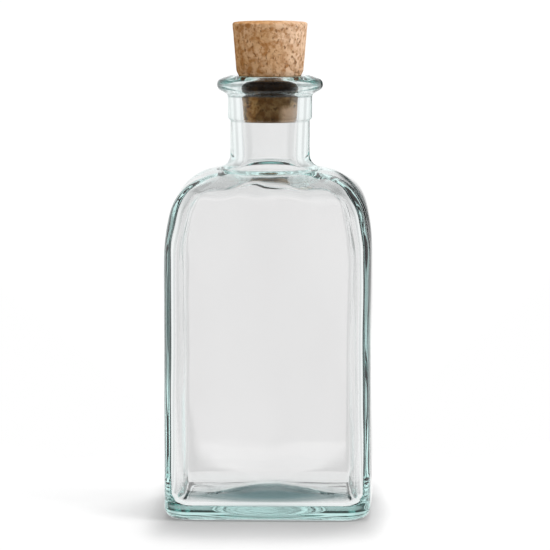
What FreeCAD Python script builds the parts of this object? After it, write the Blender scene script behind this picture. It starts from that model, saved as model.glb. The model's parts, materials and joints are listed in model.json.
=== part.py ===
import FreeCAD, Part
import math
import os

from FreeCAD import Vector

# A small square glass bottle of about 250 ml with a tapered natural cork in its neck.
# Millimetres. The origin is on the table, in the middle of the base, and +Z goes up the neck.

# Square body
body_width = 61.0
body_corner_radius = 7.5
panel_radius = 900.0
heel_radius = 3.5
side_height = 76.0

# Shoulder, as each side shows it: a slight lean, a round shoulder, then a hollow up to the neck.
# A body too wide for the round alone gets a straight slope between the round and the hollow.
lean_radius = 60.0
lean_angle = 13.0
shoulder_radius = 15.8
throat_radius = 3.5
rounding_angle = 45.0
slope_angle = 86.0

# Neck, its collar and the lip at the mouth
neck_radius = 11.75
neck_length = 10.8
collar_radius = 12.45
collar_height = 7.0
collar_step = 0.5
lip_radius = 15.7
lip_under_height = 1.9
lip_side_height = 2.5
lip_top_fall = 1.3
lip_edge_radius = 1.85
lip_hollow_radius = 1.4
mouth_land = 0.6

# Inside of the glass
wall = 3.3
inner_corner_radius = 4.5
inner_heel_radius = 3.6
floor_thickness = 3.8
inner_throat_radius = 6.2
bore_root_radius = 7.6
bore_mouth_radius = 8.9
mouth_edge_radius = 2.0

# Push-up under the base, and the rise that it leaves in the floor
standing_width = 8.2
push_up_depth = 4.4
push_up_rim_radius = 1.5
floor_edge_width = 5.6
floor_rise = 2.9

# Cork: relaxed above the lip, squeezed to the bore below it
cork_swell = 0.97
cork_taper = 5.0
cork_flare = 24.0
cork_height = 28.4
cork_depth = 12.6
cork_clearance = 0.1
cork_chamfer = 0.5
cork_bulge_radius = 2.5

# Stations along each arc of the shoulder, for the lofts
lean_stations = 5
shoulder_stations = 11
throat_stations = 8

FULL_TURN = 360
QUARTER = 90
CIRCLE_TURN = QUARTER / 4
CLOSE = 0.001
UP = Vector(0, 0, 1)
AXIS = Vector(0, 0, 0)


def panel_turn(half_width, corner_radius):
    """Degrees that a panel of panel_radius turns from its middle to where the corner's arc takes over."""
    share = (panel_radius - half_width) / (panel_radius - corner_radius)
    return math.degrees(math.acos(share / math.sqrt(2))) - 2 * CIRCLE_TURN


def turned(x, y, z, quarters):
    """The point (x, y, z) after that many quarter turns about the bottle's axis."""
    for _ in range(quarters):
        x, y = -y, x
    return Vector(x, y, z)


def rounded_square(half_width, corner_radius, turn, height):
    """A closed outline of four side arcs and four corner arcs, each tangent to the next."""
    cosine = math.cos(math.radians(turn))
    sine = math.sin(math.radians(turn))
    side_radius = (half_width - corner_radius * (cosine - sine)) / (1 - cosine + sine)
    end_x = half_width - side_radius * (1 - cosine)
    end_y = side_radius * sine
    corner_middle = end_x - corner_radius * cosine + corner_radius / math.sqrt(2)
    edges = []
    for quarter in range(4):
        side_start = turned(end_x, -end_y, height, quarter)
        side_middle = turned(half_width, 0, height, quarter)
        side_end = turned(end_x, end_y, height, quarter)
        corner = turned(corner_middle, corner_middle, height, quarter)
        corner_end = turned(end_y, end_x, height, quarter)
        edges.append(Part.Arc(side_start, side_middle, side_end).toShape())
        edges.append(Part.Arc(side_end, corner, corner_end).toShape())
    return Part.Wire(edges)


def smooth_step(share):
    share = min(max(share, 0.0), 1.0)
    return share * share * (3 - 2 * share)


def arc_point(centre, radius, angle):
    """A (half-width, height) point on an arc of an outline, at an angle in degrees from level."""
    return (
        centre[0] + radius * math.cos(math.radians(angle)),
        centre[1] + radius * math.sin(math.radians(angle)),
    )


def shoulder_arcs(inset, throat, neck):
    """Centres of the shoulder's three arcs in one skin, the angle where the last two meet, and the slope."""
    lean = (body_width / 2 - lean_radius, side_height)
    shoulder = arc_point(lean, lean_radius - shoulder_radius, lean_angle)
    reach = shoulder_radius - inset + throat
    end = arc_point(shoulder, reach, slope_angle)
    slope = (end[0] - neck - throat) / math.sin(math.radians(slope_angle))
    if slope > 0:
        hollow = (neck + throat, end[1] + slope * math.cos(math.radians(slope_angle)))
        return lean, shoulder, hollow, slope_angle, slope
    meeting_angle = math.degrees(math.acos((neck + throat - shoulder[0]) / reach))
    return lean, shoulder, arc_point(shoulder, reach, meeting_angle), meeting_angle, 0


def neck_root_height(inset, throat, neck):
    return shoulder_arcs(inset, throat, neck)[2][1]


def shoulder_skin(inset, corner, throat, neck):
    """The solid inside one skin of the glass, from the top of the straight sides to the root of the neck."""
    lean, shoulder, hollow, meeting_angle, slope = shoulder_arcs(inset, throat, neck)
    turn = panel_turn(body_width / 2 - inset, corner)
    sections = []
    for i in range(lean_stations):
        angle = lean_angle * i / lean_stations
        half_width, height = arc_point(lean, lean_radius - inset, angle)
        sections.append(rounded_square(half_width, corner, turn, height))
    for i in range(shoulder_stations):
        angle = lean_angle + (meeting_angle - lean_angle) * i / shoulder_stations
        half_width, height = arc_point(shoulder, shoulder_radius - inset, angle)
        share = smooth_step((angle - rounding_angle) / (meeting_angle - rounding_angle))
        here_corner = corner + (half_width - corner) * share
        here_turn = turn + (CIRCLE_TURN - turn) * share
        sections.append(rounded_square(half_width, here_corner, here_turn, height))
    if slope > throat:
        half_width, height = arc_point(shoulder, shoulder_radius - inset, meeting_angle)
        sections.append(rounded_square(half_width, half_width, CIRCLE_TURN, height))
    for i in range(throat_stations + 1):
        angle = meeting_angle * (1 - i / throat_stations) - 2 * QUARTER
        half_width, height = arc_point(hollow, throat, angle)
        sections.append(rounded_square(half_width, half_width, CIRCLE_TURN, height))
    return Part.makeLoft(sections, True)


def level_edges(shape, height):
    """Edges that lie flat at the given height."""
    return [
        edge for edge in shape.Edges
        if all(abs(vertex.Z - height) < CLOSE for vertex in edge.Vertexes)
        and abs(edge.CenterOfMass.z - height) < CLOSE
    ]


def straight_sides(inset, corner, bottom, bottom_edge_radius):
    """The square prism inside one skin of the glass, with a rounded bottom edge."""
    half_width = body_width / 2 - inset
    turn = panel_turn(half_width, corner)
    outline = rounded_square(half_width, corner, turn, bottom)
    prism = Part.Face(outline).extrude(UP * (side_height - bottom))
    return prism.makeFillet(bottom_edge_radius, level_edges(prism, bottom))


def rounded_outline(points):
    """A closed outline in the XZ plane through (radius, height, edge radius) points."""
    edges = []
    last_end = None
    first_start = None
    count = len(points)
    for i in range(count):
        before = Vector(points[i - 1][0], 0, points[i - 1][1])
        here = Vector(points[i][0], 0, points[i][1])
        after = Vector(points[(i + 1) % count][0], 0, points[(i + 1) % count][1])
        to_before = (before - here).normalize()
        to_after = (after - here).normalize()
        radius = points[i][2]
        start = here
        end = here
        if radius > 0:
            half_angle = to_before.getAngle(to_after) / 2
            setback = radius / math.tan(half_angle)
            start = here + to_before * setback
            end = here + to_after * setback
            inward = (to_before + to_after).normalize()
            centre = here + inward * (radius / math.sin(half_angle))
            middle = centre - inward * radius
        if last_end is not None:
            edges.append(Part.LineSegment(last_end, start).toShape())
        if radius > 0:
            edges.append(Part.Arc(start, middle, end).toShape())
        if first_start is None:
            first_start = start
        last_end = end
    edges.append(Part.LineSegment(last_end, first_start).toShape())
    return Part.Wire(edges)


def turned_solid(points):
    return Part.Face(rounded_outline(points)).revolve(AXIS, UP, FULL_TURN)


def dome(radius, rise, height):
    """A shallow cap of a sphere that stands on the given height."""
    sphere_radius = (radius**2 + rise**2) / (2 * rise)
    ball = Part.makeSphere(sphere_radius, Vector(0, 0, height + rise - sphere_radius))
    slab = Part.makeCylinder(2 * radius, 2 * rise, Vector(0, 0, height))
    return ball.common(slab)


push_up_radius = body_width / 2 - heel_radius - standing_width
floor_rise_radius = body_width / 2 - wall - inner_heel_radius - floor_edge_width
outer_root = neck_root_height(0, throat_radius, neck_radius)
inner_root = neck_root_height(wall, inner_throat_radius, bore_root_radius)
collar_bottom = outer_root + neck_length
mouth_height = collar_bottom + collar_height + lip_under_height + lip_side_height + lip_top_fall


def bore_radius(height):
    """The bore's taper, without the rounding at the mouth."""
    share = (height - inner_root) / (mouth_height - inner_root)
    return bore_root_radius + (bore_mouth_radius - bore_root_radius) * share


def mouth_edge_centre(taper):
    """Centre, as radius and height, of the rounding between the bore and the flat of the mouth."""
    inward = math.radians(QUARTER - taper) / 2
    return bore_mouth_radius + mouth_edge_radius * math.tan(inward), mouth_height - mouth_edge_radius


def neck_and_lip():
    """Outside of the neck, with the collar's small step and the flared, rounded lip."""
    lip_bottom = collar_bottom + collar_height
    lip_side_bottom = lip_bottom + lip_under_height
    lip_side_top = lip_side_bottom + lip_side_height
    land_radius = bore_mouth_radius + mouth_edge_radius + mouth_land
    return turned_solid([
        (0, outer_root, 0),
        (neck_radius, outer_root, 0),
        (neck_radius, collar_bottom - collar_step, 0),
        (collar_radius, collar_bottom, 0),
        (collar_radius, lip_bottom, lip_hollow_radius),
        (lip_radius, lip_side_bottom, lip_edge_radius),
        (lip_radius, lip_side_top, lip_edge_radius),
        (land_radius, mouth_height, 0),
        (0, mouth_height, 0),
    ])


def bore():
    """The tapered hole of the neck, opened by the rounded edge of the mouth."""
    above = mouth_height + mouth_edge_radius
    return turned_solid([
        (0, inner_root, 0),
        (bore_root_radius, inner_root, 0),
        (bore_mouth_radius, mouth_height, mouth_edge_radius),
        (lip_radius, mouth_height, 0),
        (lip_radius, above, 0),
        (0, above, 0),
    ])


def push_up(glass):
    """The hollow under the base, with a rounded rim that leaves a flat ring to stand on."""
    hollowed = glass.cut(dome(push_up_radius, push_up_depth, 0))
    rim = [edge for edge in level_edges(hollowed, 0) if is_circle(edge, push_up_radius)]
    return hollowed.makeFillet(push_up_rim_radius, rim)


def is_circle(edge, radius):
    return isinstance(edge.Curve, Part.Circle) and abs(edge.Curve.Radius - radius) < CLOSE


def glass_bottle():
    outside = straight_sides(0, body_corner_radius, 0, heel_radius).fuse([
        shoulder_skin(0, body_corner_radius, throat_radius, neck_radius),
        neck_and_lip(),
    ])
    inside = straight_sides(wall, inner_corner_radius, floor_thickness, inner_heel_radius).fuse([
        shoulder_skin(wall, inner_corner_radius, inner_throat_radius, bore_root_radius),
        bore(),
    ])
    inside = inside.cut(dome(floor_rise_radius, floor_rise, floor_thickness))
    return push_up(outside.cut(inside).removeSplitter())


def along(point, lean, rise):
    """The (radius, height) point that lies that much higher on a line of the cork's outline."""
    return point[0] + rise * math.tan(math.radians(lean)), point[1] + rise


def crossing(first, first_lean, second, second_lean):
    """Where two lines of the cork's outline cross, each given by a point and its lean from upright."""
    first_slope = math.tan(math.radians(first_lean))
    second_slope = math.tan(math.radians(second_lean))
    gap = second[0] + second_slope * (first[1] - second[1]) - first[0]
    return along(first, first_lean, gap / (first_slope - second_slope))


def cork_stopper():
    """The cork as it sits: squeezed to the bore's taper, flaring over the mouth's edge, relaxed above it."""
    bore_taper = math.degrees(math.atan2(bore_mouth_radius - bore_root_radius, mouth_height - inner_root))
    flare_reach = mouth_edge_radius + cork_clearance
    flare_side = arc_point(mouth_edge_centre(bore_taper), flare_reach, 2 * QUARTER - cork_flare)
    cork_bottom = mouth_height - cork_depth
    cork_top = cork_bottom + cork_height
    squeezed = (bore_radius(cork_bottom) - cork_clearance / math.cos(math.radians(bore_taper)), cork_bottom)
    relaxed = along((bore_mouth_radius + cork_swell, mouth_height), cork_taper, cork_top - mouth_height)
    return turned_solid([
        (0, cork_bottom, 0),
        (squeezed[0] - cork_chamfer, cork_bottom, 0),
        (*along(squeezed, bore_taper, cork_chamfer), 0),
        (*crossing(squeezed, bore_taper, flare_side, cork_flare), flare_reach),
        (*crossing(flare_side, cork_flare, relaxed, cork_taper), cork_bulge_radius),
        (*along(relaxed, cork_taper, -cork_chamfer), 0),
        (relaxed[0] - cork_chamfer, cork_top, 0),
        (0, cork_top, 0),
    ])


os.makedirs("parts", exist_ok=True)
parts = {
    "glass_bottle": glass_bottle(),
    "cork_stopper": cork_stopper(),
}
for name, shape in parts.items():
    shape.exportStep(f"parts/{name}.step")
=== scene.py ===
import json
import math
import random

import bmesh
import bpy
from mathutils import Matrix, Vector

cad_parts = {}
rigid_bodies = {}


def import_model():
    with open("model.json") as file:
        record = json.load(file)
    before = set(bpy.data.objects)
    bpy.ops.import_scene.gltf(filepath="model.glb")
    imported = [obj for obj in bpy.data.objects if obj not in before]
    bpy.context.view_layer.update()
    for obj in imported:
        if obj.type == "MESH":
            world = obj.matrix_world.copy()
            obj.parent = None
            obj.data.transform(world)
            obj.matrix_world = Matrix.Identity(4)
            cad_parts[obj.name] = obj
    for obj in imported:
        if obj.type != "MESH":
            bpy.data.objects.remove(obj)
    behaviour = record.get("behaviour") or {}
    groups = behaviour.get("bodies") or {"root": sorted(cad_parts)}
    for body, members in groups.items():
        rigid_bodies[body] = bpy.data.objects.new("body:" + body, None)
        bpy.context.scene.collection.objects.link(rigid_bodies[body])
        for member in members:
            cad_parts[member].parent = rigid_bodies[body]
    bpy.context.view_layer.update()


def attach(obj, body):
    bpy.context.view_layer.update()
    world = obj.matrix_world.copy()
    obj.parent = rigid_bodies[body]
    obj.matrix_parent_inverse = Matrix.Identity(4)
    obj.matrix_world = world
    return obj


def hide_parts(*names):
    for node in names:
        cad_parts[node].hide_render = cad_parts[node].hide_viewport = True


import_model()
print("frame loaded")

mm = 0.001


def deselectAll():
    for thing in bpy.context.view_layer.objects:
        thing.select_set(False)


def pickOnly(*pieces):
    deselectAll()
    for piece in pieces:
        piece.select_set(True)
    bpy.context.view_layer.objects.active = pieces[0]


def applyModifier(piece, kind, **settings):
    pickOnly(piece)
    modifier = piece.modifiers.new(kind.lower(), kind)
    for key, value in settings.items():
        setattr(modifier, key, value)
    bpy.ops.object.modifier_apply(modifier=modifier.name)


def selectWhere(piece, test, kind="verts"):
    # selects the parts of the mesh that pass the test, in edit mode
    mesh = bmesh.from_edit_mesh(piece.data)
    bpy.ops.mesh.select_all(action="DESELECT")
    for part in getattr(mesh, kind):
        if test(part):
            part.select_set(True)
    mesh.select_flush_mode()
    bmesh.update_edit_mesh(piece.data)


def smoothStep(low, high, value):
    share = min(max((value - low) / (high - low), 0), 1)
    return share * share * (3 - 2 * share)


def onArc(centre, radius, angle):
    turn = math.radians(angle)
    return centre[0] + radius * math.cos(turn), centre[1] + radius * math.sin(turn)


def roundedPath(points, steps):
    # (radius, height) places along an outline whose (radius, height, rounding) corners become arcs
    path = []
    for i, (x, z, rounding) in enumerate(points):
        here = Vector((x, z))
        if rounding == 0 or i == 0 or i == len(points) - 1:
            path.append((x, z))
            continue
        back = (Vector(points[i - 1][:2]) - here).normalized()
        ahead = (Vector(points[i + 1][:2]) - here).normalized()
        half = back.angle(ahead) / 2
        centre = here + (back + ahead).normalized() * rounding / math.sin(half)
        start = here + back * rounding / math.tan(half) - centre
        end = here + ahead * rounding / math.tan(half) - centre
        for k in range(steps + 1):
            spoke = start.slerp(end, k / steps) * rounding
            path.append((centre.x + spoke.x, centre.y + spoke.y))
    return path


def extrudeRing(piece, width, height, reach=None):
    # the next ring: the last one extruded, rounded towards a circle and sized
    mesh = bmesh.from_edit_mesh(piece.data)
    now = next(v.co.z for v in mesh.verts if v.select)
    bpy.ops.mesh.extrude_region_move(TRANSFORM_OT_translate={"value": (0, 0, height - now)})
    shapeRing(piece, width, height, reach or width)


def shapeRing(piece, width, height, reach):
    mesh = bmesh.from_edit_mesh(piece.data)
    ring = [v.co.copy() for v in mesh.verts if v.select]
    radii = [math.hypot(co.x, co.y) for co in ring]
    side, corner, average = max(co.x for co in ring), max(radii), sum(radii) / len(radii)
    wanted = reach / width
    spread = corner - average + wanted * (average - side)
    if corner > wanted * side and spread > 1e-9:
        rounding = min((corner - wanted * side) / spread, 1)
        bpy.ops.transform.tosphere(value=rounding, center_override=(0, 0, height))
        mesh = bmesh.from_edit_mesh(piece.data)
        side = max(v.co.x for v in mesh.verts if v.select)
    grow = width / side
    bpy.ops.transform.resize(value=(grow, grow, 1), center_override=(0, 0, height))


# Glass bottle: two skins, each a rounded square drawn up into a round neck, joined at the mouth.
# Sizes are in millimetres and angles in degrees.
bottle = {
    "halfWidth": 30.5,
    "cornerRadius": 7.5,
    "panelRadius": 900,  # the sides are this slightly crowned
    "heelRadius": 3.5,
    "sideHeight": 76,
    "leanRadius": 60,
    "leanAngle": 13,
    "shoulderRadius": 15.8,
    "roundingAngle": 45,
    "throatRadius": 3.5,
    "neckRadius": 11.75,
    "neckLength": 10.8,
    "collarRadius": 12.45,
    "collarHeight": 7,
    "collarStep": 0.5,
    "collarRowBelow": 0.3,  # rows of the mesh close to the collar's edge keep it crisp
    "collarRowAbove": 0.35,
    "lipRadius": 15.7,
    "lipUnder": 1.9,
    "lipSide": 2.5,
    "lipFall": 1.3,
    "lipEdge": 1.85,
    "lipHollow": 1.4,
    "mouthLand": 0.6,
    "landWidth": 0.7,  # the outer skin ends this far outside the land and this much lower, for the bridge
    "landFall": 0.21,
    "pushUpRadius": 18.8,
    "pushUpDepth": 4.4,
    "wall": 3.3,
    "innerCorner": 4.5,
    "innerHeel": 3.6,
    "floorThickness": 3.8,
    "floorRise": 2.9,
    "floorRiseRadius": 18,
    "innerThroat": 6.2,
    "boreRoot": 7.6,
    "boreMouth": 8.9,
    "mouthEdge": 2,
    "innerWaves": 0.55,  # unevenness of the blown inside
    "outerWaves": 0.12,  # of the moulded outside, inwards only
    "waveSize": 17,
    "shoulderWaves": 0.7,
    "shoulderWaveSize": 7,
    # heights: waves come in between the first two and go between the last two
    "innerWaveHeights": (6.8, 15.8, 96, 110),
    "outerWaveHeights": (4, 13, 96, 112),
    "shoulderWaveHeights": (66, 80, 94, 100),
    # how many steps, rows and rings the mesh has
    "cornerSteps": 8,
    "sideCuts": 15,
    "heelSteps": 6,
    "sideRows": 11,
    "leanRings": 4,
    "shoulderRings": 10,
    "hollowRings": 5,
    "neckRings": 4,
    "lipSteps": 4,
    "boreRings": 5,
    "mouthSteps": 6,
    "domeRings": 6,
}


def cornerReach(halfWidth, cornerRadius, turn):
    # how far a rounded square with crowned sides reaches along its diagonal
    cosine, sine = math.cos(turn), math.sin(turn)
    sideRadius = (halfWidth - cornerRadius * (cosine - sine)) / (1 - cosine + sine)
    endX = halfWidth - sideRadius * (1 - cosine)
    return math.sqrt(2) * (endX - cornerRadius * cosine) + cornerRadius


def panelTurn(halfWidth, cornerRadius):
    share = (bottle["panelRadius"] - halfWidth) / (bottle["panelRadius"] - cornerRadius)
    return math.acos(share / math.sqrt(2)) - math.pi / 4


def shoulderRings(inset, cornerRadius, throat, neck):
    # (half-width, height, diagonal reach) of each ring: lean, round shoulder, hollow under the neck
    leanAngle, roundingAngle = bottle["leanAngle"], bottle["roundingAngle"]
    turn = panelTurn(bottle["halfWidth"] - inset, cornerRadius)
    leanCentre = (bottle["halfWidth"] - bottle["leanRadius"], bottle["sideHeight"])
    shoulderCentre = onArc(leanCentre, bottle["leanRadius"] - bottle["shoulderRadius"], leanAngle)
    across = bottle["shoulderRadius"] - inset + throat
    meeting = math.degrees(math.acos((neck + throat - shoulderCentre[0]) / across))
    hollowCentre = onArc(shoulderCentre, across, meeting)
    leanRings, roundRings, hollowRings = bottle["leanRings"], bottle["shoulderRings"], bottle["hollowRings"]
    rings = []
    for i in range(1, leanRings):
        width, height = onArc(leanCentre, bottle["leanRadius"] - inset, leanAngle * i / leanRings)
        rings.append((width, height, cornerReach(width, cornerRadius, turn)))
    for i in range(roundRings):
        angle = leanAngle + (meeting - leanAngle) * i / roundRings
        width, height = onArc(shoulderCentre, bottle["shoulderRadius"] - inset, angle)
        share = smoothStep(roundingAngle, meeting, angle)
        corner = cornerRadius + (width - cornerRadius) * share
        rings.append((width, height, cornerReach(width, corner, turn + (math.pi / 8 - turn) * share)))
    for i in range(hollowRings + 1):
        width, height = onArc(hollowCentre, throat, meeting * (1 - i / hollowRings) - 180)
        rings.append((width, height, width))
    return rings


def squareCup(name, inset, cornerRadius, bottom, heel):
    # the square part of one skin, from its rounded heel up to where the side starts to lean
    width = bottle["halfWidth"] - inset
    reach = cornerReach(width, cornerRadius, panelTurn(width, cornerRadius))
    deselectAll()
    bpy.ops.mesh.primitive_plane_add(size=2 * width * mm, location=(0, 0, bottom * mm))
    piece = bpy.context.active_object
    piece.name = piece.data.name = name
    bpy.ops.object.transform_apply()
    bpy.ops.object.mode_set(mode="EDIT")
    bpy.ops.mesh.select_all(action="SELECT")
    bpy.ops.mesh.bevel(offset=cornerRadius * mm, segments=bottle["cornerSteps"], affect="VERTICES")
    bpy.ops.mesh.delete(type="ONLY_FACE")
    selectWhere(piece, lambda edge: edge.calc_length() > width * mm, "edges")
    bpy.ops.mesh.subdivide(number_cuts=bottle["sideCuts"])
    bpy.ops.mesh.select_all(action="SELECT")
    shapeRing(piece, width * mm, bottom * mm, reach * mm)
    rows = bottle["sideRows"]
    start = bottom + heel + 1.2  # leaves the heel's bevel its room
    for i in range(rows + 1):
        height = start + (bottle["sideHeight"] - start) * i / rows
        extrudeRing(piece, width * mm, height * mm, reach * mm)
    selectWhere(piece, lambda v: v.co.z < (bottom + 0.1) * mm)
    bpy.ops.mesh.edge_face_add()
    bpy.ops.mesh.bevel(
        offset=heel * mm, segments=bottle["heelSteps"], profile=0.5, affect="EDGES", clamp_overlap=False
    )
    selectWhere(piece, lambda face: len(face.verts) > 20, "faces")  # the one big face inside the heel
    bpy.ops.mesh.delete(type="ONLY_FACE")
    return piece


def closeBase(piece, bottom, rings, pole):
    # the rings run inwards from the heel to the pole in the middle
    selectWhere(piece, lambda v: abs(v.co.z - bottom * mm) < 1e-6 and v.is_boundary)
    for radius, height, reach in rings:
        extrudeRing(piece, radius * mm, height * mm, reach * mm)
    bpy.ops.mesh.extrude_region_move(TRANSFORM_OT_translate={"value": (0, 0, (pole - rings[-1][1]) * mm)})
    bpy.ops.mesh.merge(type="CENTER")


def domeRings(radius, rise, bottom, count):
    ball = (radius ** 2 + rise ** 2) / (2 * rise)
    rings = []
    for i in range(1, count):
        r = radius * (1 - i / count)
        rings.append((r, bottom + rise - ball + math.sqrt(ball ** 2 - r ** 2), r))
    return rings


def drawUp(piece, rings, path):
    # the rings of the shoulder and then of the turned neck, from the top of the straight side
    selectWhere(piece, lambda v: v.co.z > (bottle["sideHeight"] - 0.1) * mm)
    for width, height, reach in rings:
        extrudeRing(piece, width * mm, height * mm, reach * mm)
    for radius, height in path:
        extrudeRing(piece, radius * mm, height * mm)


def rollWaves(piece, strength, size, middle, heights):
    # unevenness of the wall
    bpy.ops.object.mode_set(mode="OBJECT")
    group = piece.vertex_groups.new(name="waves")
    for v in piece.data.vertices:
        z = v.co.z / mm
        weight = smoothStep(*heights[:2], z) * (1 - smoothStep(*heights[2:], z))
        group.add([v.index], weight, "REPLACE")
    texture = bpy.data.textures.new(piece.name + "Waves", "CLOUDS")
    texture.noise_scale = size * mm
    texture.noise_depth = 1
    applyModifier(
        piece, "DISPLACE", texture=texture, texture_coords="LOCAL", vertex_group="waves",
        strength=strength * mm, mid_level=middle,
    )
    piece.vertex_groups.clear()


outerRings = shoulderRings(0, bottle["cornerRadius"], bottle["throatRadius"], bottle["neckRadius"])
innerRings = shoulderRings(bottle["wall"], bottle["innerCorner"], bottle["innerThroat"], bottle["boreRoot"])
outerRoot, innerRoot = outerRings[-1][1], innerRings[-1][1]
collarBottom = outerRoot + bottle["neckLength"]
lipBottom = collarBottom + bottle["collarHeight"]
mouthHeight = lipBottom + bottle["lipUnder"] + bottle["lipSide"] + bottle["lipFall"]
landRadius = bottle["boreMouth"] + bottle["mouthEdge"] + bottle["mouthLand"]
boreTaper = math.atan2(bottle["boreMouth"] - bottle["boreRoot"], mouthHeight - innerRoot)


def buildOuterSkin():
    piece = squareCup("glassBottle", 0, bottle["cornerRadius"], 0, bottle["heelRadius"])
    neck, collar, step = bottle["neckRadius"], bottle["collarRadius"], bottle["collarStep"]
    lip = roundedPath([
        (collar, collarBottom + bottle["collarRowAbove"], 0),
        (collar, lipBottom, bottle["lipHollow"]),
        (bottle["lipRadius"], lipBottom + bottle["lipUnder"], bottle["lipEdge"]),
        (bottle["lipRadius"], lipBottom + bottle["lipUnder"] + bottle["lipSide"], bottle["lipEdge"]),
        (landRadius, mouthHeight, 0),
    ], bottle["lipSteps"])
    lip[-1] = (landRadius + bottle["landWidth"], mouthHeight - bottle["landFall"])
    rings, below = bottle["neckRings"], collarBottom - step
    neckPath = [(neck, outerRoot + bottle["neckLength"] * k / rings) for k in range(1, rings)]
    neckPath += [(neck, below - bottle["collarRowBelow"]), (neck, below), (collar, collarBottom)]
    drawUp(piece, outerRings, neckPath + lip)
    foot = bottle["halfWidth"] - bottle["heelRadius"]
    pushUp, depth = bottle["pushUpRadius"], bottle["pushUpDepth"]
    # the flat foot gets rounder ring by ring, and a small rim leads over into the push-up
    nearHeel, between, nearRim = foot - 0.8, foot - 3.5, pushUp + 1.2
    flat = [(nearHeel, 0, foot * 1.27), (between, 0, between * 1.16), (nearRim, 0, nearRim * 1.03)]
    rim = [(pushUp + 0.35, 0, pushUp + 0.35), (pushUp - 0.3, 0.16, pushUp - 0.3)]
    closeBase(piece, 0, flat + rim + domeRings(pushUp, depth, 0, bottle["domeRings"]), depth)
    rollWaves(piece, bottle["outerWaves"], bottle["waveSize"], 1, bottle["outerWaveHeights"])
    return piece


def buildInnerSkin():
    bottom = bottle["floorThickness"]
    piece = squareCup("glassInside", bottle["wall"], bottle["innerCorner"], bottom, bottle["innerHeel"])
    bore = roundedPath([
        (bottle["boreRoot"], innerRoot, 0),
        (bottle["boreMouth"], mouthHeight, bottle["mouthEdge"]),
        (landRadius, mouthHeight, 0),
    ], bottle["mouthSteps"])[1:]
    rings = bottle["boreRings"]
    borePath = []
    for k in range(1, rings):
        climb = (bore[0][1] - innerRoot) * k / rings
        borePath.append((bottle["boreRoot"] + climb * math.tan(boreTaper), innerRoot + climb))
    drawUp(piece, innerRings, borePath + bore)
    foot = bottle["halfWidth"] - bottle["wall"] - bottle["innerHeel"]
    rise, radius = bottle["floorRise"], bottle["floorRiseRadius"]
    nearHeel, nearRise = foot - 1.2, radius + 0.8
    flat = [(nearHeel, bottom, nearHeel * 1.2), (nearRise, bottom + 0.02, nearRise * 1.02)]
    closeBase(piece, bottom, flat + domeRings(radius, rise, bottom, bottle["domeRings"]), bottom + rise)
    rollWaves(piece, bottle["innerWaves"], bottle["waveSize"], 0.5, bottle["innerWaveHeights"])
    rollWaves(piece, bottle["shoulderWaves"], bottle["shoulderWaveSize"], 0.5, bottle["shoulderWaveHeights"])
    return piece


def buildBottle():
    outer = buildOuterSkin()
    inner = buildInnerSkin()
    pickOnly(outer, inner)
    bpy.ops.object.join()
    bpy.ops.object.mode_set(mode="EDIT")
    selectWhere(outer, lambda edge: edge.is_boundary, "edges")
    bpy.ops.mesh.bridge_edge_loops()
    bpy.ops.mesh.select_all(action="SELECT")
    bpy.ops.mesh.remove_doubles(threshold=1e-6)
    bpy.ops.mesh.normals_make_consistent(inside=False)
    bpy.ops.object.mode_set(mode="OBJECT")
    applyModifier(outer, "SUBSURF", levels=1, render_levels=1)
    bpy.ops.object.shade_smooth()
    return outer


glassBottle = buildBottle()
print("glass bottle modelled", len(glassBottle.data.polygons))


# Cork: one turned outline, squeezed in the neck and flared above it, with pores and a worn skin.
corkSizes = {
    "height": 28.4,
    "depth": 12.6,
    "clearance": 0.1,
    "swell": 0.97,
    "taper": 5,
    "flare": 24,
    "bulge": 2.5,
    "edge": 0.5,
    "around": 96,  # columns of faces
    "rowHeight": 0.72,
    "endRings": 10,
    "arcSteps": 3,
    "pores": 90,
    "poreRuns": (0, 0, 1, 2),  # how many more faces a pore may run on over
    "poreFace": 0.22,  # the least area of a face that becomes a pore
    "poreInset": 0.14,
    "poreDepth": 0.3,
    "wear": 0.14,
    "wearSizes": ((2.4, 1), (0.9, 0.5)),  # (size, share of the wear)
    "seed": 11,
}


def along(point, lean, rise):
    return point[0] + rise * math.tan(lean), point[1] + rise


def crossing(first, firstLean, second, secondLean):
    firstSlope, secondSlope = math.tan(firstLean), math.tan(secondLean)
    gap = second[0] + secondSlope * (first[1] - second[1]) - first[0]
    return along(first, firstLean, gap / (firstSlope - secondSlope))


def corkPath():
    taper, flare = math.radians(corkSizes["taper"]), math.radians(corkSizes["flare"])
    clearance, edge = corkSizes["clearance"], corkSizes["edge"]
    bottom = mouthHeight - corkSizes["depth"]
    top = bottom + corkSizes["height"]
    inward = (math.pi / 2 - boreTaper) / 2
    mouthEdge = bottle["mouthEdge"]
    edgeCentre = (bottle["boreMouth"] + mouthEdge * math.tan(inward), mouthHeight - mouthEdge)
    flareSide = onArc(edgeCentre, mouthEdge + clearance, 180 - corkSizes["flare"])
    boreThere = bottle["boreRoot"] + (bottom - innerRoot) * math.tan(boreTaper)
    squeezed = (boreThere - clearance / math.cos(boreTaper), bottom)
    relaxed = along((bottle["boreMouth"] + corkSizes["swell"], mouthHeight), taper, top - mouthHeight)
    return roundedPath([
        (squeezed[0] - edge, bottom, 0),
        (*along(squeezed, boreTaper, edge), 0),
        (*crossing(squeezed, boreTaper, flareSide, flare), mouthEdge + clearance),
        (*crossing(flareSide, flare, relaxed, taper), corkSizes["bulge"]),
        (*along(relaxed, taper, -edge), 0),
        (relaxed[0] - edge, top, 0),
    ], corkSizes["arcSteps"])


def evenPath(path, step):
    # the same outline with a place about every step along it
    even = [path[0]]
    for (x0, z0), (x1, z1) in zip(path, path[1:]):
        count = max(1, round(math.hypot(x1 - x0, z1 - z0) / step))
        even += [(x0 + (x1 - x0) * k / count, z0 + (z1 - z0) * k / count) for k in range(1, count + 1)]
    return even


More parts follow.
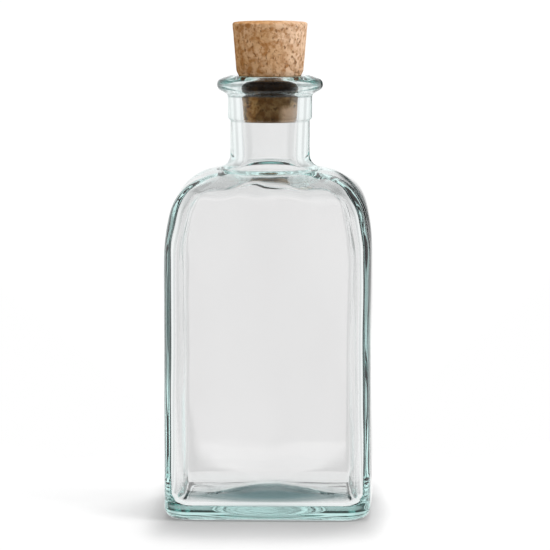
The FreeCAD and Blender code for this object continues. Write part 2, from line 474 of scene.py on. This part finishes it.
def buildCork():
    path = corkPath()
    foot, bottom = path[0]
    deselectAll()
    bpy.ops.mesh.primitive_circle_add(
        vertices=corkSizes["around"], radius=foot * mm, location=(0, 0, bottom * mm), fill_type="NOTHING"
    )
    piece = bpy.context.active_object
    piece.name = piece.data.name = "cork"
    bpy.ops.object.transform_apply()
    bpy.ops.object.mode_set(mode="EDIT")
    bpy.ops.mesh.select_all(action="SELECT")
    for radius, height in evenPath(path, corkSizes["rowHeight"])[1:]:
        extrudeRing(piece, radius * mm, height * mm)
    rings = corkSizes["endRings"]
    for radius, height in (path[-1], path[0]):
        selectWhere(piece, lambda v: abs(v.co.z - height * mm) < 1e-7 and v.is_boundary)
        for k in range(rings - 1, 0, -1):
            extrudeRing(piece, radius * (k / rings) * mm, height * mm)
        bpy.ops.mesh.extrude_region_move(TRANSFORM_OT_translate={"value": (0, 0, 0)})
        bpy.ops.mesh.merge(type="CENTER")
    bpy.ops.mesh.select_all(action="SELECT")
    bpy.ops.mesh.normals_make_consistent(inside=False)
    pickPores(piece)
    bpy.ops.mesh.inset(
        thickness=corkSizes["poreInset"] * mm, depth=-corkSizes["poreDepth"] * mm, use_individual=False
    )
    bpy.ops.object.mode_set(mode="OBJECT")
    for size, share in corkSizes["wearSizes"]:
        texture = bpy.data.textures.new("corkWear", "CLOUDS")
        texture.noise_scale = size * mm
        texture.noise_depth = 2
        applyModifier(
            piece, "DISPLACE", texture=texture, texture_coords="LOCAL",
            strength=corkSizes["wear"] * share * mm, mid_level=1,
        )
    applyModifier(piece, "SUBSURF", levels=1, render_levels=1)
    bpy.ops.object.shade_smooth()
    return piece


def pickPores(piece):
    # single faces and short runs of two or three, scattered over the side and the ends
    mesh = bmesh.from_edit_mesh(piece.data)
    bpy.ops.mesh.select_all(action="DESELECT")
    rolls = random.Random(corkSizes["seed"])
    heights = [corner.co.z for corner in mesh.verts]
    waist = (min(heights) + max(heights)) / 2

    def place(face):
        # round the cork, then along its outline: the mesh's own order isn't the same in each run
        middle = face.calc_center_median()
        column = math.floor(math.atan2(middle.y, middle.x) / (2 * math.pi / corkSizes["around"]))
        return column, math.atan2(middle.z - waist, math.hypot(middle.x, middle.y))

    least = corkSizes["poreFace"] * mm * mm
    broad = sorted((face for face in mesh.faces if face.calc_area() > least), key=place)
    usable = set(broad)
    for face in rolls.sample(broad, corkSizes["pores"]):
        face.select_set(True)
        for _ in range(rolls.choice(corkSizes["poreRuns"])):
            around = {other for edge in face.edges for other in edge.link_faces if other in usable}
            beside = sorted(around - {face}, key=place)
            if beside:
                face = rolls.choice(beside)
                face.select_set(True)
    bmesh.update_edit_mesh(piece.data)


cork = buildCork()
print("cork modelled", len(cork.data.polygons))


def newNode(tree, kind, **inputs):
    node = tree.nodes.new(kind)
    for name, value in inputs.items():
        node.inputs[name].default_value = value
    return node


def calc(tree, operation, *inputs):
    node = tree.nodes.new("ShaderNodeMath")
    node.operation = operation
    for socket, value in zip(node.inputs, inputs):
        if isinstance(value, (int, float)):
            socket.default_value = value
        else:
            tree.links.new(value, socket)
    return node.outputs["Value"]


def product(tree, first, *others):
    for other in others:
        first = calc(tree, "MULTIPLY", first, other)
    return first


def softStep(tree, value, low, high):
    # 0 at low and 1 at high, whichever is the greater
    ramp = newNode(tree, "ShaderNodeMapRange")
    ramp.interpolation_type = "SMOOTHSTEP"
    ramp.inputs["From Min"].default_value = low
    ramp.inputs["From Max"].default_value = high
    tree.links.new(value, ramp.inputs["Value"])
    return ramp.outputs["Result"]


def softWindow(tree, value, comes, goes):
    # 1 between the two pairs of limits over which it comes in and goes again
    return product(tree, softStep(tree, value, *comes), softStep(tree, value, *goes))


def splitPlace(tree, place):
    apart = tree.nodes.new("ShaderNodeSeparateXYZ")
    tree.links.new(place, apart.inputs["Vector"])
    return apart.outputs["X"], apart.outputs["Y"], apart.outputs["Z"]


def startMaterial(name):
    material = bpy.data.materials.new(name)
    material.use_nodes = True
    tree = material.node_tree
    shader = next(node for node in tree.nodes if node.type == "BSDF_PRINCIPLED")
    output = next(node for node in tree.nodes if node.type == "OUTPUT_MATERIAL")
    coordinates = tree.nodes.new("ShaderNodeTexCoord")
    return material, tree, shader, output, coordinates.outputs["Object"]


def mottleGroup():
    # a soft random mask that the glass, the cork and the floor use
    group = bpy.data.node_groups.new("softMottle", "ShaderNodeTree")
    socket = group.interface.new_socket
    socket(name="Vector", in_out="INPUT", socket_type="NodeSocketVector")
    for name in ("Scale", "Detail", "Low", "High"):
        socket(name=name, in_out="INPUT", socket_type="NodeSocketFloat")
    socket(name="Mask", in_out="OUTPUT", socket_type="NodeSocketFloat")
    inside, outside = group.nodes.new("NodeGroupInput"), group.nodes.new("NodeGroupOutput")
    noise = group.nodes.new("ShaderNodeTexNoise")
    spread = group.nodes.new("ShaderNodeMapRange")
    spread.interpolation_type = "SMOOTHSTEP"
    link = group.links.new
    link(inside.outputs["Vector"], noise.inputs["Vector"])
    link(inside.outputs["Scale"], noise.inputs["Scale"])
    link(inside.outputs["Detail"], noise.inputs["Detail"])
    link(noise.outputs["Fac"], spread.inputs["Value"])
    link(inside.outputs["Low"], spread.inputs["From Min"])
    link(inside.outputs["High"], spread.inputs["From Max"])
    link(spread.outputs["Result"], outside.inputs["Mask"])
    return group


softMottle = mottleGroup()


def mottle(tree, place, scale, detail, low, high, stretch=None):
    node = tree.nodes.new("ShaderNodeGroup")
    node.node_tree = softMottle
    for name, value in (("Scale", scale), ("Detail", detail), ("Low", low), ("High", high)):
        node.inputs[name].default_value = value
    if stretch:
        mapping = tree.nodes.new("ShaderNodeMapping")
        mapping.inputs["Scale"].default_value = stretch
        tree.links.new(place, mapping.inputs["Vector"])
        place = mapping.outputs["Vector"]
    tree.links.new(place, node.inputs["Vector"])
    return node.outputs["Mask"]


def mixColours(tree, mask, first, second):
    mix = tree.nodes.new("ShaderNodeMix")
    mix.data_type = "RGBA"
    tree.links.new(mask, mix.inputs["Factor"])
    for socket, colour in ((mix.inputs["A"], first), (mix.inputs["B"], second)):
        if isinstance(colour, tuple):
            socket.default_value = (*colour, 1)
        else:
            tree.links.new(colour, socket)
    return mix.outputs["Result"]


def shadeColours(tree, mask, first, second):
    # darkens by multiplying, so that the pattern under it stays
    mix = tree.nodes.new("ShaderNodeMix")
    mix.data_type = "RGBA"
    mix.blend_type = "MULTIPLY"
    tree.links.new(mask, mix.inputs["Factor"])
    tree.links.new(first, mix.inputs["A"])
    mix.inputs["B"].default_value = (*second, 1)
    return mix.outputs["Result"]


def mixShaders(tree, mask, first, second):
    mix = tree.nodes.new("ShaderNodeMixShader")
    for socket, value in zip(mix.inputs, (mask, first, second)):
        tree.links.new(value, socket)
    return mix.outputs["Shader"]


def addBump(tree, shader, height, strength, distance):
    bump = newNode(tree, "ShaderNodeBump", Strength=strength, Distance=distance)
    tree.links.new(height, bump.inputs["Height"])
    tree.links.new(bump.outputs["Normal"], shader.inputs["Normal"])


# From here on sizes are in metres. A noise is the (scale, detail, low, high, stretch) of a softMottle mask.
glassFinish = {
    "clear": (0.975, 0.953, 0.955),
    "faint": (0.952, 0.93, 0.932),
    "faintNoise": (55, 2, 0.35, 0.7, (1, 1, 0.35)),
    "refraction": 1.5,
    "absorbed": (0.30, 0.80, 0.76),
    "density": 13,
    "ripple": 0.12,
    "rippleHeight": 0.0006,
    "rippleNoise": (95, 1, 0.2, 0.8, (1, 1, 0.3)),
    "frost": 0.12,  # roughness of the underside
    "frostBelow": (0.0056, 0.0052),  # the top of the dome that the underside lies below
    "frostCurve": 11,
    "frostFall": 0.0038,
    "frostReach": (0.0285, 0.026),
}


def underside(tree, place):
    # 1 on the push-up and the flat round it, which lie below a dome halfway up the thickness of the floor
    across, deep, high = splitPlace(tree, place)
    square = calc(tree, "MULTIPLY_ADD", across, across, product(tree, deep, deep))
    climb = calc(tree, "MINIMUM", product(tree, square, glassFinish["frostCurve"]), glassFinish["frostFall"])
    below = softStep(tree, calc(tree, "ADD", high, climb), *glassFinish["frostBelow"])
    return product(tree, below, softStep(tree, calc(tree, "SQRT", square), *glassFinish["frostReach"]))


def glassMaterial():
    material, tree, shader, output, place = startMaterial("clearGlass")
    faint = mottle(tree, place, *glassFinish["faintNoise"])
    colour = mixColours(tree, faint, glassFinish["clear"], glassFinish["faint"])
    tree.links.new(colour, shader.inputs["Base Color"])
    shader.inputs["Transmission Weight"].default_value = 1
    shader.inputs["IOR"].default_value = glassFinish["refraction"]
    frost = product(tree, underside(tree, place), glassFinish["frost"])
    tree.links.new(frost, shader.inputs["Roughness"])
    ripple = mottle(tree, place, *glassFinish["rippleNoise"])
    addBump(tree, shader, ripple, glassFinish["ripple"], glassFinish["rippleHeight"])
    absorb = newNode(tree, "ShaderNodeVolumeAbsorption", Density=glassFinish["density"])
    absorb.inputs["Color"].default_value = (*glassFinish["absorbed"], 1)
    tree.links.new(absorb.outputs["Volume"], output.inputs["Volume"])
    return material


# The cork is painted paler on the right, a painted light from the lamp on that side. Inside the glass it is
# darker, and behind the lip it is painted nearly black, a painted shade.
corkFinish = {
    "pale": (0.94, 0.67, 0.47),
    "tan": (0.63, 0.36, 0.165),
    "brown": (0.40, 0.175, 0.055),
    "pore": (0.20, 0.085, 0.028),
    "damp": (1, 1, 0.78),
    "neckDark": (0.20, 0.18, 0.12),
    # painted shade: nearly black where the cork shows behind the glass lip
    "lipShade": (0.018, 0.007, 0.001),
    "broadNoise": (170, 2, 0.3, 0.7),
    "patchNoise": (560, 4, 0.38, 0.68),
    "fleckNoise": (1000, 3, 0.52, 0.68),
    "speckNoise": (1100, 2, 0.58, 0.70, (1, 1, 0.6)),
    "neckDarkNoise": (300, 3, 0.46, 0.56),
    "streakNoise": (260, 3, 0.42, 0.62, (1, 1, 2.2)),
    "grainNoise": (1500, 4, 0.3, 0.75),
    "paintedLitShare": 0.7,  # of the side paler with painted light, in the mix of tan and pale
    "broadShare": 0.3,
    "patchStrength": 0.95,
    "patchFade": 0.45,  # how much weaker the patches are on the side paler with painted light
    "fleckStrength": 0.75,
    "speckStrength": 0.8,
    "neckDarkStrength": 0.75,
    "streakStrength": 0.22,
    "cornerStrength": 0.9,
    "paintedLitSide": (-0.002, 0.009),  # these pairs are the limits across which each comes in
    "dampBelow": (0.1292, 0.1280),
    # the painted shade behind the glass lip comes in over these heights
    "lipShadeAbove": (0.1222, 0.1248),
    "stripMiddle": 0.001,  # of the darker strip that runs up the front and the back
    "stripEdge": (0.006, 0.002),
    "streakEdge": (0.001, 0.006),
    "cornerSide": (0.002, 0.005),  # of the corner low on the right that stays pale
    "cornerTop": (0.1205, 0.1185),
    "grainStrength": 0.6,
    "grainHeight": 0.0002,
    "roughness": 0.85,
}


def corkMaterial():
    material, tree, shader, _, place = startMaterial("naturalCork")
    across, _, high = splitPlace(tree, place)
    finish = corkFinish

    def noise(name):
        return mottle(tree, place, *finish[name + "Noise"])

    # painted light: the cork is paler towards the right, where the lamp shines on it
    side = softStep(tree, across, *finish["paintedLitSide"])
    broad = product(tree, noise("broad"), finish["broadShare"])
    paleness = calc(tree, "MULTIPLY_ADD", side, finish["paintedLitShare"], broad)
    colour = mixColours(tree, paleness, finish["tan"], finish["pale"])
    fading = calc(tree, "MULTIPLY_ADD", side, -finish["patchFade"], finish["patchStrength"])
    patches = product(tree, noise("patch"), fading)
    colour = mixColours(tree, patches, colour, finish["brown"])
    flecks = product(tree, noise("fleck"), finish["fleckStrength"])
    colour = mixColours(tree, flecks, colour, finish["brown"])
    specks = product(tree, noise("speck"), finish["speckStrength"])
    colour = mixColours(tree, specks, colour, finish["pore"])

    # inside the glass the cork is tinted, and darkened in mottles and in a strip up its front and back, save
    # a pale corner low on the right
    damp = softStep(tree, high, *finish["dampBelow"])
    colour = shadeColours(tree, damp, colour, finish["damp"])
    fromStrip = calc(tree, "ABSOLUTE", calc(tree, "ADD", across, -finish["stripMiddle"]))
    strip = softStep(tree, fromStrip, *finish["stripEdge"])
    corner = product(
        tree, softStep(tree, across, *finish["cornerSide"]), softStep(tree, high, *finish["cornerTop"])
    )
    neckDarkening = calc(tree, "MAXIMUM", noise("neckDark"), strip)
    neckDarkening = product(tree, neckDarkening, calc(tree, "MULTIPLY_ADD", corner, -finish["cornerStrength"], 1))
    neckDarkening = product(tree, neckDarkening, product(tree, damp, finish["neckDarkStrength"]))
    colour = shadeColours(tree, neckDarkening, colour, finish["neckDark"])
    colour = mixColours(tree, product(tree, corner, finish["cornerStrength"]), colour, finish["pale"])
    streaks = product(tree, noise("streak"), softStep(tree, fromStrip, *finish["streakEdge"]))
    # painted shade behind the glass lip, broken by lighter streaks away from the front and back strip
    lipShade = softStep(tree, high, *finish["lipShadeAbove"])
    lipShade = product(tree, lipShade, calc(tree, "MULTIPLY_ADD", streaks, -finish["streakStrength"], 1))
    colour = mixColours(tree, product(tree, damp, lipShade), colour, finish["lipShade"])

    tree.links.new(colour, shader.inputs["Base Color"])
    shader.inputs["Roughness"].default_value = finish["roughness"]
    shader.inputs["Specular IOR Level"].default_value = 0
    addBump(tree, shader, noise("grain"), finish["grainStrength"], finish["grainHeight"])
    return material


glassBottle.data.materials.append(glassMaterial())
cork.data.materials.append(corkMaterial())
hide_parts("glass_bottle")
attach(glassBottle, "bottle")
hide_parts("cork_stopper")
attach(cork, "stopper")
print("pieces dressed")


# Studio: pale floor that fades to plain white, soft light, and a room that only the glass shows.
# Pairs are the limits of soft edges, as for softStep.
studio = {
    "floorSize": 12,
    "floorDrop": 0.00005,  # below the foot of the bottle, so that the two don't share a plane
    "floorColour": 0.86,
    "dustNoise": (30, 3, 0.3, 0.7),
    "dustLevel": 0.99,
    "floorGlow": 0.23,
    "whiteBeyond": (0.05, 0.12),  # distance from the bottle's axis
    "contactShade": 0.31,  # how much darker the painted contact shadow makes the floor right at the base
    "contactEdge": 0.028,  # half the width of the square that the shade starts from
    "contactReach": 0.026,
    "contactSqueeze": (2.6, 0.5),  # how fast the shade goes at the sides, and in front and behind
    # (distance from the bottle's axis in mm, glow) of the floor as the glass shows it: a painted shade under
    # the bottle, teal as if lit through the glass, brightening to white further out
    "glowThroughGlass": (
        (0, (0.14, 0.25, 0.26)), (8, (0.16, 0.27, 0.28)), (13, (0.23, 0.34, 0.35)), (20, (0.41, 0.49, 0.49)),
        (25, (0.84, 0.88, 0.88)), (32, (1.0, 1.0, 1.0)), (50, (1.0, 1.0, 1.0)),
    ),
    "glowReach": 50,
    "openWithin": (0.075, 0.05),  # nearer to the axis than this the room's shade doesn't darken the floor
    "skyLight": 0.54,
    "roomLight": 1.035,
    "panelPairs": 4,  # of soft panels, all round
    "panelTurn": math.radians(8),
    "gapShade": 0.2,  # how dark the gaps between the soft panels look in the glass
    "gapEdge": (0.6, 0.95),
    # (sine of the height above the horizon, level) of the room
    "roomLevels": (
        (0, 1), (0.06, 0.97), (0.18, 0.9), (0.3, 0.82), (0.45, 0.65), (0.75, 0.58), (0.9, 0.35), (1, 0.3),
    ),
    "guidedDepth": 3.5,  # light mirrored more often than this inside the glass is led along in it
    "guidedLift": 0.45,  # the room is this much brighter for it, and again, above each of the heights below
    "guidedHeights": ((0.05, 0.2), (0.45, 0.6)),
    "guidedNear": 0.3,  # how much brighter the floor is for it close by, and how much that falls further off
    "guidedFall": 0.75,
    "guidedFar": (0.18, 0.42),
    "screenLevel": 0.04,  # of the dark screen, where the plain room is at 1
    "screenComes": (0.03, 0.11),  # radians from straight behind, to the right
    "screenGoes": (0.6, 0.4),
    "screenTop": (0.26, 0.12),
    "screenFloor": (0.35, 1.1),
    "dimFront": 0.93,  # how much darker the room's front half is where the glass mirrors it
    "dimTurn": (math.radians(80), math.radians(125)),
    "cardColour": (0.015, 0.08, 0.09),  # dark card behind the bottle, which the push-up mirrors
    "cardDepth": 3.5,  # it shows only to light that has crossed more surfaces of glass than this
    "cardSide": (0.4, 0.25),
    "cardBehind": (0.3, 0.6),
    "cardComes": (0.1, 0.2),
    "cardGoes": (0.8, 0.66),
    "keyPower": 5,
    "keySize": 0.9,
    "keyPlace": (0.8, -0.35, 0.75),
    "topPower": 5,
    "topSize": 0.5,
    "topPlace": (0.05, 0.45, 0.95),
    "lampAim": (0, 0, 0.07),
    "bounces": 24,
    "glossyBounces": 12,
    "diffuseBounces": 4,
}


def grey(level):
    return level, level, level


def lightPath(tree):
    return tree.nodes.new("ShaderNodeLightPath").outputs


def glassRays(tree):
    # 1 for rays that glass has just mirrored or refracted
    path = lightPath(tree)
    return calc(tree, "MAXIMUM", path["Is Glossy Ray"], path["Is Transmission Ray"])


def seenRays(tree):
    # 1 for rays that show the background: camera, mirrored and refracted ones
    return calc(tree, "MAXIMUM", lightPath(tree)["Is Camera Ray"], glassRays(tree))


def mirroredOnce(tree):
    # 1 for light that glass has mirrored just once on its way
    return calc(tree, "COMPARE", lightPath(tree)["Glossy Depth"], 1, 0.5)


def outerMirror(tree):
    # 1 for light mirrored by the outside of the glass, which hasn't been inside it
    path = lightPath(tree)
    mirrored = calc(tree, "MINIMUM", path["Glossy Depth"], 1)
    return product(tree, mirrored, calc(tree, "LESS_THAN", path["Transmission Depth"], 0.5))


def guidedRays(tree):
    # 1 for light that glass has led along inside its walls, by mirroring it again and again
    return calc(tree, "GREATER_THAN", lightPath(tree)["Glossy Depth"], studio["guidedDepth"])


def roomShade(tree, place, low):
    # darker in the gaps between the soft panels, an eighth of a turn apart; mirrored darker in front
    # and, where it is low, on the right behind the bottle, where a dark screen stands
    across, deep, _ = splitPlace(tree, place)
    turn = calc(tree, "ARCTAN2", across, deep)
    phase = calc(tree, "MULTIPLY_ADD", turn, studio["panelPairs"], studio["panelTurn"])
    wave = calc(tree, "ABSOLUTE", calc(tree, "SINE", phase))
    gaps = softStep(tree, wave, *studio["gapEdge"])
    panels = calc(tree, "MULTIPLY_ADD", gaps, -studio["gapShade"], studio["roomLight"])
    front = softStep(tree, calc(tree, "ABSOLUTE", turn), *studio["dimTurn"])
    dim = product(tree, front, mirroredOnce(tree), -studio["dimFront"])
    behind = softWindow(tree, turn, studio["screenComes"], studio["screenGoes"])
    screen = product(tree, behind, low, calc(tree, "MAXIMUM", outerMirror(tree), guidedRays(tree)))
    screened = calc(tree, "MULTIPLY_ADD", screen, studio["screenLevel"] - 1, 1)
    return product(tree, panels, screened, calc(tree, "ADD", dim, 1))


def fillRamp(tree, value, stops, reach=1):
    ramp = tree.nodes.new("ShaderNodeValToRGB")
    for i, (place, colour) in enumerate(stops):
        stop = ramp.color_ramp.elements[i] if i < 2 else ramp.color_ramp.elements.new(place / reach)
        stop.position = place / reach
        stop.color = (*colour, 1) if isinstance(colour, tuple) else (*grey(colour), 1)
    tree.links.new(value, ramp.inputs["Fac"])
    return ramp.outputs["Color"]


def contactMask(tree, place):
    # 1 under the bottle, and soft round its foot, where the floor gets a painted contact shadow, for what
    # the camera sees directly
    squares = []
    for value, squeeze in zip(splitPlace(tree, place), studio["contactSqueeze"]):
        gap = calc(tree, "ADD", calc(tree, "ABSOLUTE", value), -studio["contactEdge"])
        gap = product(tree, calc(tree, "MAXIMUM", gap, 0), squeeze)
        squares.append(product(tree, gap, gap))
    away = calc(tree, "SQRT", calc(tree, "ADD", *squares))
    return product(tree, softStep(tree, away, studio["contactReach"], 0), lightPath(tree)["Is Camera Ray"])


def floorMaterial():
    material, tree, shader, output, place = startMaterial("paleFloor")
    camera, byGlass, seen = lightPath(tree)["Is Camera Ray"], glassRays(tree), seenRays(tree)
    contact, contactColour = contactMask(tree, place), grey(1 - studio["contactShade"])
    level = studio["floorColour"]
    dust = mottle(tree, place, *studio["dustNoise"])
    colour = mixColours(tree, dust, grey(level), grey(level * studio["dustLevel"]))
    colour = shadeColours(tree, contact, colour, contactColour)
    colour = shadeColours(tree, byGlass, colour, grey(0))
    tree.links.new(colour, shader.inputs["Base Color"])
    shader.inputs["Roughness"].default_value = 1
    shader.inputs["Specular IOR Level"].default_value = 0

    length = tree.nodes.new("ShaderNodeVectorMath")
    length.operation = "LENGTH"
    tree.links.new(place, length.inputs[0])
    fromAxis = length.outputs["Value"]
    reach = studio["glowReach"]
    # painted shade under the bottle, teal as if lit through the glass, for rays that come through it
    under = fillRamp(tree, product(tree, fromAxis, 1 / (reach * mm)), studio["glowThroughGlass"], reach)
    glow = mixColours(tree, byGlass, grey(studio["floorGlow"]), under)
    tree.links.new(shadeColours(tree, contact, glow, contactColour), shader.inputs["Emission Color"])

    shade = roomShade(tree, place, softStep(tree, fromAxis, *studio["screenFloor"]))
    far = softStep(tree, fromAxis, *studio["guidedFar"])
    led = calc(tree, "MULTIPLY_ADD", far, -studio["guidedFall"], studio["guidedNear"])
    shade = product(tree, shade, calc(tree, "MULTIPLY_ADD", guidedRays(tree), led, 1))
    shown = calc(tree, "MAXIMUM", shade, camera)
    close = calc(tree, "MAXIMUM", shown, softStep(tree, fromAxis, *studio["openWithin"]))
    tree.links.new(product(tree, seen, close), shader.inputs["Emission Strength"])
    white = newNode(tree, "ShaderNodeEmission")
    tree.links.new(shown, white.inputs["Strength"])
    fade = product(tree, softStep(tree, fromAxis, *studio["whiteBeyond"]), seen)
    both = mixShaders(tree, fade, shader.outputs["BSDF"], white.outputs["Emission"])
    tree.links.new(both, output.inputs["Surface"])
    return material


def buildFloor():
    deselectAll()
    bpy.ops.mesh.primitive_plane_add(size=studio["floorSize"], location=(0, 0, -studio["floorDrop"]))
    floor = bpy.context.active_object
    bpy.ops.object.transform_apply()
    floor.name = "floor"
    floor.data.materials.append(floorMaterial())


def cardMask(tree, across, deep, high):
    # 1 where the dark card stands, for the light that shows it
    side = softStep(tree, calc(tree, "ABSOLUTE", across), *studio["cardSide"])
    behind = softStep(tree, deep, *studio["cardBehind"])
    upright = softWindow(tree, high, studio["cardComes"], studio["cardGoes"])
    deepInside = calc(tree, "GREATER_THAN", lightPath(tree)["Transmission Depth"], studio["cardDepth"])
    return product(tree, side, behind, upright, mirroredOnce(tree), deepInside)


def buildWorld():
    world = bpy.data.worlds.new("studioWorld")
    bpy.context.scene.world = world
    world.use_nodes = True
    tree = world.node_tree
    tree.nodes.clear()
    output = tree.nodes.new("ShaderNodeOutputWorld")
    direction = tree.nodes.new("ShaderNodeTexCoord").outputs["Generated"]
    across, deep, high = splitPlace(tree, direction)
    levels = fillRamp(tree, high, studio["roomLevels"])
    colour = mixColours(tree, cardMask(tree, across, deep, high), levels, studio["cardColour"])
    rise = calc(tree, "ADD", *(softStep(tree, high, *limits) for limits in studio["guidedHeights"]))
    lift = calc(tree, "MULTIPLY_ADD", product(tree, guidedRays(tree), rise), studio["guidedLift"], 1)
    shade = roomShade(tree, direction, softStep(tree, high, *studio["screenTop"]))
    room = tree.nodes.new("ShaderNodeBackground")
    tree.links.new(colour, room.inputs["Color"])
    tree.links.new(product(tree, shade, lift), room.inputs["Strength"])
    plain = newNode(tree, "ShaderNodeBackground", Color=(*grey(1), 1), Strength=studio["skyLight"])
    white = newNode(tree, "ShaderNodeBackground", Color=(*grey(1), 1), Strength=1)
    light = mixShaders(tree, glassRays(tree), plain.outputs["Background"], room.outputs["Background"])
    shown = mixShaders(tree, lightPath(tree)["Is Camera Ray"], light, white.outputs["Background"])
    tree.links.new(shown, output.inputs["Surface"])


def addLamp(name, place, size, power):
    # the lamp lights the room, but the glass doesn't show it
    lamp = bpy.data.lights.new(name, "AREA")
    lamp.shape = "DISK"
    lamp.size = size
    lamp.energy = power
    thing = bpy.data.objects.new(name, lamp)
    thing.location = place
    thing.rotation_euler = (Vector(studio["lampAim"]) - Vector(place)).to_track_quat("-Z", "Y").to_euler()
    thing.visible_transmission = thing.visible_glossy = False
    bpy.context.collection.objects.link(thing)


cameraView = {
    "azimuth": 2,
    "distance": 1.25,
    "height": 0.198,
    "aimHeight": 0.0693,
    "aimRight": 0.0015,
    "lens": 277,
    "sensor": 36,
}


def buildCamera():
    turn = math.radians(cameraView["azimuth"])
    right = Vector((math.cos(turn), math.sin(turn), 0))
    away = Vector((math.sin(turn), -math.cos(turn), 0))
    place = away * cameraView["distance"] + Vector((0, 0, cameraView["height"]))
    aim = right * cameraView["aimRight"] + Vector((0, 0, cameraView["aimHeight"]))
    lens = bpy.data.cameras.new("camera")
    lens.lens = cameraView["lens"]
    lens.sensor_width = cameraView["sensor"]
    lens.clip_start = 0.01
    lens.clip_end = 50
    camera = bpy.data.objects.new("camera", lens)
    camera.location = place
    camera.rotation_euler = (aim - place).to_track_quat("-Z", "Y").to_euler()
    bpy.context.collection.objects.link(camera)
    bpy.context.scene.camera = camera


buildFloor()
buildWorld()
addLamp("keyLight", studio["keyPlace"], studio["keySize"], studio["keyPower"])
addLamp("topLight", studio["topPlace"], studio["topSize"], studio["topPower"])
buildCamera()
scene = bpy.context.scene
scene.view_settings.view_transform = "Standard"
scene.cycles.max_bounces = studio["bounces"]
scene.cycles.transmission_bounces = studio["bounces"]
scene.cycles.glossy_bounces = studio["glossyBounces"]
scene.cycles.diffuse_bounces = studio["diffuseBounces"]
print("studio ready")
